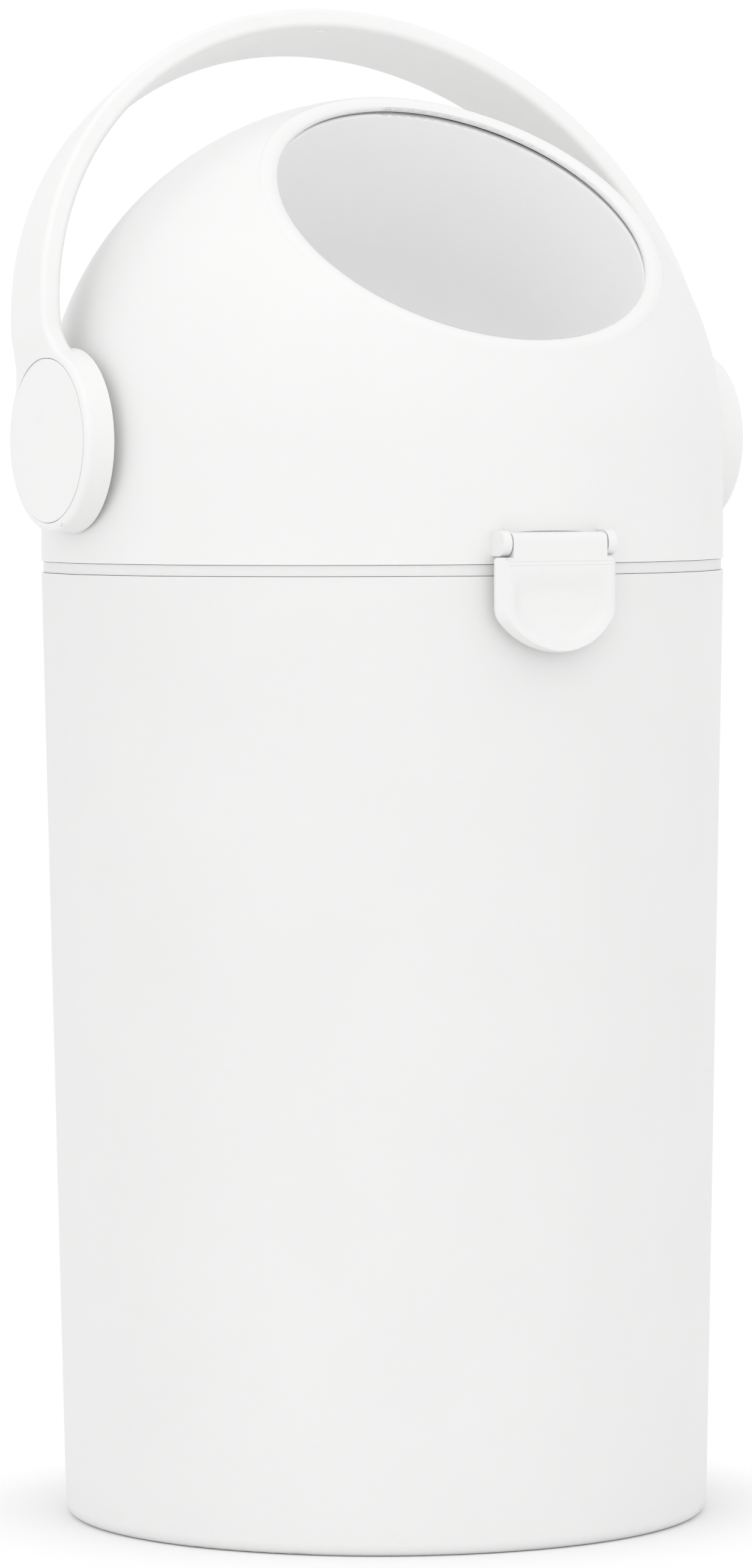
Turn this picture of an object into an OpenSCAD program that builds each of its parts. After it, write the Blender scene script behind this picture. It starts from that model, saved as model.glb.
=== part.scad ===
// Nappy bin: a tapered bucket, a hinged dome lid, and a turning drum whose cup
// carries a nappy from the mouth in the lid down into the bag.
// Millimetres, +Z up. The origin is the middle of the base, on the floor.
// The front, with the latch, faces -Y. The drum and its handle turn about X.

/* [Bucket] */
// Outer radius of the bucket at its rim
bucket_top_r = 140; // [130:1:150]
// How much narrower the bucket's radius is at the floor
bucket_taper = 7.7; // [4:0.1:12]
// Height of the bucket's rim
bucket_h = 388; // [340:1:430]
// Wall thickness of the bucket
bucket_wall = 2.6; // [2:0.1:3.2]
// Thickness of the bucket's floor
floor_t = 3; // [2:0.5:5]
// Rounding of the edge round the base
base_edge_r = 5; // [3:0.5:8]

/* [Bag ring] */
// Height of the band that shows between bucket and lid
ring_h = 4.3; // [3:0.1:6]
// How far the band stands back from the bucket's rim
ring_inset = 0.8; // [0.4:0.1:1.2]
// Radial width of the ring's top flange
ring_w = 10.5; // [10:0.5:11]
// How far the ring's skirt hangs into the bucket
skirt_h = 12; // [8:1:16]
// Thickness of the ring's skirt
skirt_t = 2.8; // [2:0.1:3.5]
// Height of the rubber band that grips the bag
grip_h = 6; // [4:0.5:7]
// How far the rubber band stands out of the skirt
grip_out = 0.6; // [0.3:0.1:0.7]

/* [Lid] */
// Wall thickness of the lid
lid_wall = 2.8; // [2.2:0.1:3.2]
// Height of the drum's axis above the lid's lower edge
axis_rise = 49.2; // [45:0.2:56]
// Thickness of the collar inside the lid
collar_t = 3.5; // [2.5:0.5:4.5]
// Radial width of the collar
collar_w = 9.6; // [8.5:0.1:9.8]
// Number of screws that hold the collar
collar_screw_count = 6; // [6:6:12]
// Radius of the collar screws' shanks
collar_screw_r = 1.25; // [1:0.05:1.5]

/* [Mouth] */
// How far the mouth's axis leans forward from upright, in degrees
mouth_tilt = 38.4; // [34:0.2:44]
// Radius of the hole in the lid
mouth_r = 77.4; // [70:0.2:80]
// Radius of the bend that rolls the lid's edge into the mouth
lip_r = 6; // [4.5:0.5:8]
// How far the bend turns past flat, in degrees
lip_turn = 34; // [15:1:40]

/* [Drum and cup] */
// Gap between the inside of the lid and the drum
drum_gap = 3.2; // [2.8:0.1:4]
// Wall thickness of the drum
drum_wall = 2.4; // [2:0.1:3]
// Inside radius of the nappy cup
cup_r = 77.8; // [66:0.2:79]
// Wall thickness of the nappy cup
cup_wall = 2.2; // [1.6:0.1:2.4]
// Depth of the cup from its rim to the bottom
cup_depth = 148; // [120:1:190]
// Radius of the shafts that the drum turns on
shaft_r = 14; // [11:0.5:15]
// Thickness of the bushings' walls
bushing_wall = 2.4; // [1.5:0.1:3]
// Thickness of the bushings' flanges
bushing_flange_t = 1.2; // [0.8:0.1:1.6]

/* [Handle] */
// How far the handle's legs stand outside the lid
handle_out = 14.6; // [14:0.2:20]
// How far the handle's top stands above the top of the dome
handle_over = 46; // [42:1:60]
// Thickness of the handle's bar, front to back of the hand
handle_t = 8.8; // [7:0.1:9.6]
// Width of the handle's bar, fore and aft
handle_w = 33; // [24:0.5:38]
// Rounding of the handle's edges
handle_edge_r = 2.6; // [1.5:0.1:3.4]
// How far the handle leans back at rest, in degrees
handle_tilt = 20.5; // [15:0.5:26]
// How far the handle swings forward, in degrees
handle_swing = 140; // [110:1:142]
// Radius of the round hub at each end of the handle
hub_r = 36.8; // [35:0.2:40]
// Radius of the cap in each hub
cap_r = 33; // [31:0.2:33.4]
// Thickness of the cap
cap_t = 2; // [1.5:0.1:2.4]
// Concave blend between the handle's leg and its hub
leg_blend_r = 22; // [14:1:30]

/* [Latch] */
// Width of the latch
latch_w = 54.6; // [46:0.2:60]
// Length of the latch below its pin
latch_drop = 43.1; // [40:0.1:46]
// Radius of the latch's barrel
barrel_r = 5.1; // [4.8:0.1:5.6]
// Height of the latch's pin above the lid's lower edge
latch_rise = 8.2; // [7.8:0.1:11]
// Radius of the latch's pin
latch_pin_r = 1.6; // [1.2:0.1:2]
// Thickness of the latch's plate
latch_t = 5.3; // [5:0.1:6.6]
// How far the plate's back stands off the bucket's rim
latch_standoff = 2.5; // [2.2:0.1:3.2]
// How far the finger tab flares out at the bottom
tab_flare = 2.6; // [1.5:0.1:4]
// Radius of the curve along the bottom of the tab
tab_curve_r = 32.5; // [30:0.5:40]

/* [Rear hinge] */
// Radius of the hinge pin
hinge_pin_r = 2.5; // [2:0.1:3]
// How far the hinge pin stands behind the bucket's rim
hinge_back = 6; // [5.8:0.1:8]
// Radius of the hinge knuckles
knuckle_r = 5; // [4.6:0.1:5.2]
// Width of the bracket on the back of the bucket
bracket_w = 76; // [70:1:90]
// Height of the bracket's plate
bracket_h = 34; // [26:1:44]
// Thickness of the bracket's plate
bracket_t = 3.4; // [2.5:0.1:4]

/* [Fits] */
// Running clearance on the radius of each shaft and pin
run_fit = 0.05; // [0.02:0.01:0.1]
// Gap at the seams between bucket, bag ring and lid
seam_gap = 0.2; // [0.15:0.05:0.4]
// Gap between pieces that pass each other
pass_gap = 0.3; // [0.3:0.05:0.5]
// Clearance round a piece that drops into another
drop_fit = 0.15; // [0.05:0.05:0.25]

/* [Hidden] */
$fn = 96;

shell_color = [0.93, 0.93, 0.93];
inner_color = [0.80, 0.82, 0.84];
rubber_color = [0.45, 0.46, 0.48];
steel_color = [0.70, 0.71, 0.73];
bushing_color = [0.88, 0.86, 0.78];

// A length past any face that it has to cut through
through = 400;
// How far two pieces of one solid reach into each other
bite = 0.8;

// Heights of the stack, from the floor up
bucket_base_r = bucket_top_r - bucket_taper;
ring_z = bucket_h + seam_gap;
lid_z = ring_z + ring_h + seam_gap;
axis_z = lid_z + axis_rise;

// The lid is a cylinder up to the drum's axis and half a sphere above it
lid_r = bucket_top_r;
lid_inner_r = lid_r - lid_wall;
handle_half_w = lid_r + handle_out;
handle_rise = lid_r + handle_over;
drum_r = lid_inner_r - drum_gap;
drum_inner_r = drum_r - drum_wall;
collar_z = lid_z + 1.8;
collar_top = collar_z + collar_t;
collar_inner_r = lid_inner_r - collar_w;

// The bend of the mouth's lip runs out into the dome's surface
lip_sink = 0.05;
// Angle over which lip and dome share the wall
lip_overlap = 12;
lip_inner_r = lip_r - lid_wall;
lip_end_r = lid_wall / 2;
lip_mid_r = lip_r - lip_end_r;
lip_centre_r = mouth_r + lip_mid_r * sin(lip_turn) + lip_end_r;
lip_centre_h = sqrt(pow(lid_r - lip_r - lip_sink, 2) - pow(lip_centre_r, 2));
lip_start = atan2(lip_centre_h, lip_centre_r);

// The cup's rim lies on the drum's sphere
cup_outer_r = cup_r + cup_wall;
cup_rim_h = sqrt(pow(drum_r, 2) - pow(cup_outer_r, 2));
cup_bowl_h = cup_rim_h - cup_depth + cup_r;
cup_flange_w = 10;

// Stations along the drum's axis, from the middle outwards
boss_in_x = drum_r + 1;
boss_out_x = lid_r + 0.2;
boss_r = shaft_r + bushing_wall + 4;
flange_out_x = boss_out_x + bushing_flange_t;
hub_back_x = flange_out_x + pass_gap;
hub_skirt_x = boss_out_x + pass_gap;
hub_web_t = 5.6;
shaft_end_x = hub_back_x + hub_web_t;
hub_out_x = handle_half_w - 2.2;
shaft_flange_t = 4;
shaft_flange_r = shaft_r + 5;
shaft_in_x = drum_inner_r - 7.6;

// The handle's screw, its washer and the flats that key shaft to handle
handle_screw_r = 2.5;
handle_screw_l = 22;
handle_screw_head_r = 5;
handle_screw_head_t = 1.6;
washer_r = shaft_r - 1;
washer_t = 1.2;
key_w = shaft_r * 1.3;

// The stop peg on the lid and the curved track for it in the handle's hub
stop_track_r = 28;
stop_peg_r = 2.2;
stop_depth = 3;
stop_track_half = stop_peg_r + pass_gap + 0.2;

// The handle is two straight legs and half a ring
arch_rise = handle_rise - handle_half_w;
arch_mid_r = handle_half_w - handle_t / 2;

// The latch's plate is flat, with the barrel round its pin flush with its front
latch_back = bucket_top_r + latch_standoff;
latch_front = latch_back + latch_t;
latch_y = -(latch_front - barrel_r);
latch_z = lid_z + latch_rise;
latch_bottom_z = latch_z - latch_drop;
plate_top_z = latch_z - barrel_r - 0.85;
barrel_half = latch_w / 2 - 5.75;
boss_half = latch_w / 2 - 1.7;
pocket_r = barrel_r + 0.5;
flare_start_z = latch_bottom_z + 18;
dish_r = 60;
dish_depth = 1.3;

// The catch on the bucket and the hook that reaches under it
catch_w = 18;
catch_out = latch_standoff - 0.6;
catch_top_z = bucket_h - 5;
catch_h = 4;
hook_h = 5;
hook_out = latch_standoff - 0.9;
hook_top_z = catch_top_z - catch_h - 0.4;

// The rear hinge's pin and the knuckles along it
hinge_y = bucket_top_r + hinge_back;
hinge_z = lid_z - 0.1;
ring_knuckle_x = 17.5;
ring_knuckle_r = knuckle_r - 0.4;
lid_knuckle_in_x = ring_knuckle_x + pass_gap;
lid_knuckle_out_x = lid_knuckle_in_x + 12;
bracket_knuckle_x = lid_knuckle_out_x + pass_gap;
bracket_top_z = bucket_h - 2;
bracket_screw_x = 20;
bracket_screw_z = bracket_top_z - bracket_h * 0.6;
bracket_screw_r = 2;
bracket_screw_head_r = 4;
bracket_screw_head_t = 2;
bracket_screw_l = 12;
bracket_boss_r = 5;

// Screws between the two halves of the drum
drum_screw_angles = [45, 135, 225, 315];
drum_lug_r = 5.5;
drum_lug_h = 12;
drum_lug_at = drum_inner_r - 4.5;
drum_screw_r = 1.6;
drum_screw_head_r = 3;
drum_screw_head_t = 2;

// Posts for the collar's screws
collar_post_r = 3.6;
collar_post_h = 10;
collar_post_at = lid_inner_r - 3.1;
collar_screw_head_r = 2.6;
collar_screw_head_t = 1.6;

// Outer radius of the bucket at a height
function bucket_r(z) = bucket_base_r + bucket_taper * z / bucket_h;

// A point at a radius and an angle
function polar(r, a) = [r * cos(a), r * sin(a)];

// A round bar along X, from one station to another
module x_bar(r, x0, x1) {
    translate([x0, 0, 0])
        rotate([0, 90, 0])
            cylinder(r = r, h = x1 - x0);
}

// Turns a profile of radius and distance about the X axis
module x_turned() {
    rotate([0, 90, 0])
        rotate_extrude()
            children();
}

// A bar along Y whose near end lies at y0
module y_bar(r, y0, y1) {
    translate([0, y0, 0])
        rotate([-90, 0, 0])
            cylinder(r = r, h = y1 - y0);
}

// Puts what follows at the drum's axis
module at_axis() {
    translate([0, 0, axis_z])
        children();
}

// Puts what follows along the mouth's axis
module at_mouth() {
    at_axis()
        rotate([mouth_tilt, 0, 0])
            children();
}

// Repeats what follows on the left as its mirror image
module both_sides() {
    children();
    mirror([1, 0, 0])
        children();
}

// A flat ring of a spherical or round section
module ring_2d(r_out, r_in) {
    difference() {
        circle(r = r_out);
        circle(r = r_in);
    }
}

// A rectangle with round corners, centred, made of true arcs
module rounded_rect(w, h, r) {
    square([w - 2 * r, h], center = true);
    square([w, h - 2 * r], center = true);
    for (sx = [-1, 1], sy = [-1, 1])
        translate([sx * (w / 2 - r), sy * (h / 2 - r)])
            circle(r = r);
}

// ---- bucket ----

// Half section of the bucket's outside, filled
module bucket_outside_2d(rim_z) {
    edge_x = bucket_r(base_edge_r) - base_edge_r;
    polygon([
        [0, 0],
        [edge_x, 0],
        [edge_x, base_edge_r],
        [bucket_r(base_edge_r), base_edge_r],
        [bucket_r(rim_z), rim_z],
        [0, rim_z]
    ]);
    translate([edge_x, base_edge_r])
        circle(r = base_edge_r);
}

// The solid that the bucket's outer face bounds
module bucket_outside() {
    rotate_extrude()
        intersection() {
            bucket_outside_2d(bucket_h);
            square([through, bucket_h]);
        }
}

// The space inside the bucket
module bucket_inside() {
    inside_r = bucket_r(floor_t) - bucket_wall;
    translate([0, 0, floor_t])
        cylinder(
            r1 = inside_r,
            r2 = inside_r + bucket_taper,
            h = bucket_h
        );
}

// The lug that the latch hooks under
module catch_lug() {
    intersection() {
        translate([-catch_w / 2, -through, catch_top_z - catch_h])
            cube([catch_w, through, catch_h]);
        difference() {
            cylinder(r = bucket_top_r + catch_out, h = bucket_h);
            cylinder(r = bucket_r(catch_top_z - catch_h) - bite, h = bucket_h);
        }
    }
}

module bracket_screw_places() {
    both_sides()
        translate([bracket_screw_x, 0, bracket_screw_z])
            children();
}

module bucket() {
    boss_end = bucket_top_r - 4 - bracket_screw_l;
    color(shell_color)
        difference() {
            union() {
                difference() {
                    bucket_outside();
                    bucket_inside();
                }
                catch_lug();
                intersection() {
                    bracket_screw_places()
                        y_bar(bracket_boss_r, boss_end, bucket_top_r);
                    bucket_outside();
                }
            }
            bracket_screw_places()
                y_bar(bracket_screw_r, boss_end + 2, through);
        }
}

module bracket_plate() {
    difference() {
        intersection() {
            translate([-bracket_w / 2, 0, bracket_top_z - bracket_h])
                cube([bracket_w, through, bracket_h]);
            cylinder(r = bucket_top_r + bracket_t, h = bucket_h);
        }
        bucket_outside();
    }
}

module bracket_knuckle() {
    arm_y = bucket_top_r + 0.6;
    translate([0, hinge_y, hinge_z])
        x_bar(knuckle_r, bracket_knuckle_x, bracket_w / 2);
    translate([bracket_knuckle_x, arm_y, bracket_top_z - 12])
        cube([
            bracket_w / 2 - bracket_knuckle_x,
            hinge_y + knuckle_r - arm_y,
            hinge_z - bracket_top_z + 12
        ]);
}

module bracket_web() {
    arm_y = sqrt(pow(bucket_top_r, 2) - pow(bracket_w / 2, 2)) + 0.6;
    translate([bracket_knuckle_x, arm_y, bracket_top_z - 12])
        cube([bracket_w / 2 - bracket_knuckle_x, hinge_y - arm_y, 12]);
}

module hinge_bracket() {
    color(shell_color)
        difference() {
            union() {
                bracket_plate();
                both_sides() {
                    bracket_knuckle();
                    bracket_web();
                }
            }
            bucket_outside();
            translate([0, hinge_y, hinge_z])
                x_bar(hinge_pin_r, -through, through);
            bracket_screw_places()
                y_bar(bracket_screw_r, 0, through);
        }
}

module bracket_screws() {
    head_y = bucket_top_r + bracket_t;
    color(steel_color)
        bracket_screw_places() {
            y_bar(bracket_screw_r, head_y - bracket_screw_l, head_y + bite);
            y_bar(bracket_screw_head_r, head_y, head_y + bracket_screw_head_t);
        }
}

module hinge_pin() {
    pin_half = bracket_w / 2;
    head_t = 1.5;
    color(steel_color)
        translate([0, hinge_y, hinge_z]) {
            x_bar(hinge_pin_r, -pin_half, pin_half + head_t);
            x_bar(hinge_pin_r + 1.2, pin_half, pin_half + head_t);
        }
}

// ---- bag ring ----

ring_out_r = bucket_top_r - ring_inset;
skirt_out_r = bucket_top_r - bucket_wall - 1.1;
skirt_in_r = skirt_out_r - skirt_t;
grip_z = ring_z - skirt_h / 2 - grip_h / 2;
grip_seat = 0.8;

module bag_ring() {
    color(shell_color)
        difference() {
            union() {
                rotate_extrude()
                    difference() {
                        union() {
                            translate([ring_out_r - ring_w, ring_z])
                                square([ring_w, ring_h]);
                            translate([skirt_in_r, ring_z - skirt_h])
                                square([skirt_t, skirt_h + bite]);
                        }
                        translate([skirt_out_r - grip_seat, grip_z])
                            square([grip_seat + bite, grip_h]);
                    }
                translate([0, hinge_y, hinge_z])
                    x_bar(ring_knuckle_r, -ring_knuckle_x, ring_knuckle_x);
                translate([-ring_knuckle_x, ring_out_r - 3, ring_z])
                    cube([2 * ring_knuckle_x, hinge_y - ring_out_r + 3, ring_h]);
            }
            translate([0, hinge_y, hinge_z])
                x_bar(hinge_pin_r + run_fit, -through, through);
        }
}

module bag_grip() {
    grip_in_r = skirt_out_r - grip_seat;
    color(rubber_color)
        rotate_extrude()
            translate([grip_in_r, grip_z])
                square([grip_seat + grip_out, grip_h]);
}

// ---- lid ----

// Half section of the lip that rolls the dome's edge into the mouth. It reaches
// into the dome's wall and lies a hair below the dome's surface.
module lip_2d() {
    lip_end = 90 + lip_turn;
    lip_root = lip_start - lip_overlap;
    translate([lip_centre_r, lip_centre_h]) {
        intersection() {
            ring_2d(lip_r, lip_inner_r);
            polygon([
                [0, 0],
                polar(4 * lip_r, lip_root),
                polar(4 * lip_r, (lip_root + lip_end) / 2),
                polar(4 * lip_r, lip_end)
            ]);
        }
        translate(polar(lip_mid_r, lip_end))
            circle(r = lip_end_r * 0.95);
    }
}

// The half sphere above the drum's axis, open at the mouth. It is turned about
// the drum's axis, so that the poles lie in the shaft bores.
module dome() {
    difference() {
        at_axis()
            rotate([0, 90, 0])
                rotate([0, 0, 90])
                    rotate_extrude(angle = 180)
                        intersection() {
                            ring_2d(lid_r, lid_inner_r);
                            translate([0, -through])
                                square([through, 2 * through]);
                        }
        at_mouth()
            cylinder(r1 = 0, r2 = 2 * lip_centre_r, h = 2 * lip_centre_h);
    }
    at_mouth()
        rotate_extrude()
            lip_2d();
}

module lid_skirt() {
    translate([0, 0, lid_z])
        difference() {
            cylinder(r = lid_r, h = axis_rise);
            translate([0, 0, -1])
                cylinder(r = lid_inner_r, h = axis_rise + 2);
        }
}

// The boss that each bushing sits in, with the peg that stops the handle
module hub_boss() {
    at_axis() {
        x_bar(boss_r, boss_in_x, boss_out_x);
        translate([0, 0, -stop_track_r])
            x_bar(stop_peg_r, lid_r - lid_wall / 2, hub_skirt_x + stop_depth - pass_gap);
    }
}

module collar_places() {
    for (i = [0 : collar_screw_count - 1])
        rotate([0, 0, i * 360 / collar_screw_count])
            translate([collar_post_at, 0, 0])
                children();
}

// The hollow in the lid's front that the latch's barrel turns in
module latch_housing() {
    intersection() {
        translate([0, latch_y, latch_z])
            x_bar(pocket_r + 2, -barrel_half - 2, barrel_half + 2);
        cylinder(r = lid_r, h = through * 2);
    }
}

// Ears with round fronts that carry the latch's pin
module latch_ears() {
    ear_in_x = barrel_half + pass_gap;
    ear_back_y = -(lid_r - lid_wall - 0.2);
    ear_half_h = barrel_r - 0.1;
    translate([0, 0, latch_z])
        both_sides() {
            translate([0, latch_y, 0])
                x_bar(barrel_r, ear_in_x, boss_half);
            translate([ear_in_x, latch_y, -ear_half_h])
                cube([boss_half - ear_in_x, ear_back_y - latch_y, 2 * ear_half_h]);
        }
}

module lid_knuckles() {
    both_sides() {
        translate([0, hinge_y, hinge_z])
            x_bar(knuckle_r, lid_knuckle_in_x, lid_knuckle_out_x);
        translate([lid_knuckle_in_x, lid_inner_r - 3, lid_z])
            cube([
                lid_knuckle_out_x - lid_knuckle_in_x,
                hinge_y - lid_inner_r + 3,
                knuckle_r - 0.1
            ]);
    }
}

module lid_shell() {
    color(shell_color)
        difference() {
            union() {
                dome();
                lid_skirt();
                both_sides()
                    hub_boss();
                translate([0, 0, collar_top])
                    collar_places()
                        cylinder(r = collar_post_r, h = collar_post_h);
                latch_housing();
                latch_ears();
                difference() {
                    lid_knuckles();
                    cylinder(r = lid_inner_r, h = through * 2);
                }
            }
            at_axis()
                x_bar(shaft_r + bushing_wall, -through, through);
            collar_places()
                translate([0, 0, collar_z])
                    cylinder(r = collar_screw_r, h = collar_t + collar_post_h - 1);
            translate([0, latch_y, latch_z]) {
                x_bar(pocket_r, -barrel_half, barrel_half);
                x_bar(latch_pin_r, -boss_half + 1, boss_half - 1);
            }
            translate([0, hinge_y, hinge_z])
                x_bar(hinge_pin_r + run_fit, -through, through);
        }
}

module lid_collar() {
    notch_half = barrel_half + 5;
    color(inner_color)
        difference() {
            translate([0, 0, collar_z])
                difference() {
                    cylinder(r = lid_inner_r, h = collar_t);
                    translate([0, 0, -1])
                        cylinder(r = collar_inner_r, h = collar_t + 2);
                }
            translate([-notch_half, -through, collar_z - 1])
                cube([2 * notch_half, through - lid_inner_r + 5.2, collar_t + 2]);
            collar_places()
                translate([0, 0, collar_z - 1]) {
                    cylinder(r = collar_screw_r, h = collar_t + 2);
                    cylinder(r = collar_screw_head_r + drop_fit, h = collar_screw_head_t + 1);
                }
        }
}

module collar_screws() {
    color(steel_color)
        collar_places()
            translate([0, 0, collar_z]) {
                cylinder(r = collar_screw_head_r, h = collar_screw_head_t);
                cylinder(r = collar_screw_r, h = collar_t + collar_post_h - 2);
            }
}

// Flat rubber ring under the collar, which meets the bag ring
module lid_gasket() {
    gasket_w = 3;
    gasket_in_r = collar_inner_r + 1.4;
    gasket_t = collar_z - ring_z - ring_h - 0.1;
    color(rubber_color)
        translate([0, 0, collar_z - gasket_t])
            difference() {
                cylinder(r = gasket_in_r + gasket_w, h = gasket_t);
                translate([0, 0, -1])
                    cylinder(r = gasket_in_r, h = gasket_t + 2);
            }
}

// Rubber ring that wipes the drum round the mouth
module mouth_seal() {
    seal_in_r = lip_centre_r + lip_r;
    seal_w = 6;
    color(rubber_color)
        at_mouth()
            rotate_extrude()
                intersection() {
                    ring_2d(lid_inner_r, drum_r + pass_gap);
                    translate([seal_in_r, 0])
                        square([seal_w, lid_r]);
                }
}

// Rubber ring that wipes the drum above the collar
module drum_seal() {
    seal_t = 4;
    seal_w = 2.6;
    seal_in_r = collar_inner_r - 2;
    color(rubber_color)
        rotate_extrude($fn = 240)
            difference() {
                translate([seal_in_r, collar_top])
                    square([collar_inner_r + seal_w - seal_in_r, seal_t]);
                translate([0, axis_z])
                    circle(r = drum_r + pass_gap, $fn = 720);
            }
}

module bushing() {
    color(bushing_color)
        at_axis()
            difference() {
                union() {
                    x_bar(shaft_r + bushing_wall, boss_in_x, flange_out_x);
                    x_bar(boss_r, boss_out_x, flange_out_x);
                }
                x_bar(shaft_r + run_fit, 0, through);
            }
}

module left_bushing() {
    mirror([1, 0, 0])
        bushing();
}

module right_bushing() {
    bushing();
}

module latch_pin() {
    color(steel_color)
        translate([0, latch_y, latch_z])
            x_bar(latch_pin_r, -boss_half + 1, boss_half - 1);
}

// ---- latch ----

// Section of the latch's plate and flared tab, with the bucket's axis at x = 0
module latch_section_2d() {
    flare_h = flare_start_z - latch_bottom_z;
    flare_r = (flare_h * flare_h + tab_flare * tab_flare) / (2 * tab_flare);
    translate([latch_back, flare_start_z])
        square([latch_t, plate_top_z - flare_start_z]);
    intersection() {
        translate([latch_back + flare_r, flare_start_z])
            ring_2d(flare_r, flare_r - latch_t);
        translate([latch_back - 1, latch_bottom_z - bite])
            square([tab_flare + latch_t + 3, flare_h + bite]);
    }
}

// Front outline of the latch, straight at the sides and curved at the bottom
module latch_outline_2d() {
    intersection() {
        translate([-latch_w / 2, latch_bottom_z - bite])
            square([latch_w, plate_top_z - latch_bottom_z + bite]);
        translate([0, latch_bottom_z + tab_curve_r]) {
            circle(r = tab_curve_r);
            translate([-tab_curve_r, 0])
                square([2 * tab_curve_r, through]);
        }
    }
}

// The hook behind the plate that reaches under the catch
module latch_hook() {
    translate([-catch_w / 2, -latch_back - bite, hook_top_z - hook_h])
        cube([catch_w, hook_out + bite, hook_h]);
}

// The web that joins barrel and plate
module latch_web() {
    translate([-barrel_half + pass_gap, -latch_front, plate_top_z - 2])
        cube([2 * (barrel_half - pass_gap), barrel_r, latch_z - plate_top_z + 2]);
}

module latch() {
    dish_y = -(latch_front + dish_r - dish_depth);
    dish_z = latch_bottom_z + 21;
    color(shell_color)
        difference() {
            union() {
                intersection() {
                    rotate([90, 0, -90])
                        linear_extrude(height = latch_w + 2, center = true)
                            latch_section_2d();
                    rotate([90, 0, 0])
                        linear_extrude(height = through)
                            latch_outline_2d();
                }
                latch_web();
                latch_hook();
                translate([0, latch_y, latch_z])
                    x_bar(barrel_r, -barrel_half + pass_gap, barrel_half - pass_gap);
            }
            translate([0, latch_y, latch_z])
                x_bar(latch_pin_r + run_fit, -through, through);
            translate([0, dish_y, dish_z])
                sphere(r = dish_r);
        }
}

// ---- drum ----

module drum_ball() {
    difference() {
        sphere(r = drum_r);
        sphere(r = drum_inner_r);
    }
}

// Lugs on the inside of the drum for the screws that join its halves
module drum_lugs(z0) {
    intersection() {
        for (a = drum_screw_angles)
            rotate([0, 0, a])
                translate([drum_lug_at, 0, z0])
                    cylinder(r = drum_lug_r, h = drum_lug_h);
        sphere(r = drum_inner_r + bite);
    }
}

module drum_front() {
    color(shell_color)
        at_mouth()
            difference() {
                union() {
                    intersection() {
                        drum_ball();
                        translate([-through, -through, 0])
                            cube([2 * through, 2 * through, through]);
                    }
                    drum_lugs(0);
                }
                cylinder(r = cup_outer_r, h = through);
                x_bar(shaft_r, -through, through);
                for (a = drum_screw_angles)
                    rotate([0, 0, a])
                        translate([drum_lug_at, 0, -1])
                            cylinder(r = drum_screw_r, h = drum_lug_h);
            }
}

module drum_back() {
    color(shell_color)
        at_mouth()
            difference() {
                union() {
                    intersection() {
                        drum_ball();
                        translate([-through, -through, -through])
                            cube([2 * through, 2 * through, through]);
                    }
                    drum_lugs(-drum_lug_h);
                }
                x_bar(shaft_r, -through, through);
                for (a = drum_screw_angles)
                    rotate([0, 0, a])
                        translate([drum_lug_at, 0, -through])
                            cylinder(r = drum_screw_r, h = 2 * through);
            }
}

module drum_screws() {
    color(steel_color)
        at_mouth()
            for (a = drum_screw_angles)
                rotate([0, 0, a])
                    translate([drum_lug_at, 0, -drum_lug_h]) {
                        translate([0, 0, -drum_screw_head_t])
                            cylinder(r = drum_screw_head_r, h = drum_screw_head_t);
                        translate([0, 0, -drum_screw_head_t])
                            cylinder(r = drum_screw_r, h = 1.7 * drum_lug_h);
                    }
}

// Half section of the cup's wall, rim and flange about the mouth's axis
module nappy_cup_2d() {
    rim_r = cup_wall / 2;
    translate([cup_r, cup_bowl_h])
        square([cup_wall, cup_rim_h - rim_r - cup_bowl_h]);
    translate([cup_r + rim_r, cup_rim_h - rim_r])
        circle(r = rim_r);
    intersection() {
        ring_2d(drum_inner_r, drum_inner_r - cup_wall);
        translate([cup_r + cup_wall / 2, 0])
            square([cup_flange_w, drum_r]);
    }
}

module nappy_cup() {
    color(shell_color)
        at_mouth()
            rotate_extrude()
                nappy_cup_2d();
}

// The round bottom that is welded to the cup's wall
module cup_bowl() {
    color(shell_color)
        at_mouth()
            translate([0, 0, cup_bowl_h])
                rotate_extrude()
                    intersection() {
                        ring_2d(cup_outer_r, cup_r);
                        translate([0, -cup_outer_r])
                            square([cup_outer_r, cup_outer_r]);
                    }
}

// ---- shafts and handle ----

// The end of the shaft, with two flats that turn it with the handle
module shaft_key(grow) {
    intersection() {
        x_bar(shaft_r - 1 + grow, hub_back_x - bite, shaft_end_x);
        translate([0, -key_w / 2 - grow, -through])
            cube([through, key_w + 2 * grow, 2 * through]);
    }
}

module trunnion() {
    color(inner_color)
        at_axis()
            rotate([-handle_tilt, 0, 0])
                difference() {
                    union() {
                        x_bar(shaft_r, shaft_in_x, hub_back_x);
                        x_bar(shaft_flange_r, shaft_in_x, shaft_in_x + shaft_flange_t);
                        shaft_key(0);
                    }
                    x_bar(handle_screw_r, shaft_end_x - handle_screw_l, through);
                }
}

module left_trunnion() {
    mirror([1, 0, 0])
        trunnion();
}

module right_trunnion() {
    trunnion();
}

module hub_blank() {
    face_edge_r = 2.2;
    back_edge_r = 0.5;
    x_turned() {
        translate([0, hub_skirt_x])
            square([hub_r - face_edge_r, hub_out_x - hub_skirt_x]);
        translate([0, hub_skirt_x])
            square([hub_r - back_edge_r, 2 * back_edge_r]);
        translate([0, hub_skirt_x + back_edge_r])
            square([hub_r, hub_out_x - hub_skirt_x - back_edge_r - face_edge_r]);
        translate([hub_r - face_edge_r, hub_out_x - face_edge_r])
            circle(r = face_edge_r);
        translate([hub_r - back_edge_r, hub_skirt_x + back_edge_r])
            circle(r = back_edge_r);
    }
}

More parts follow.
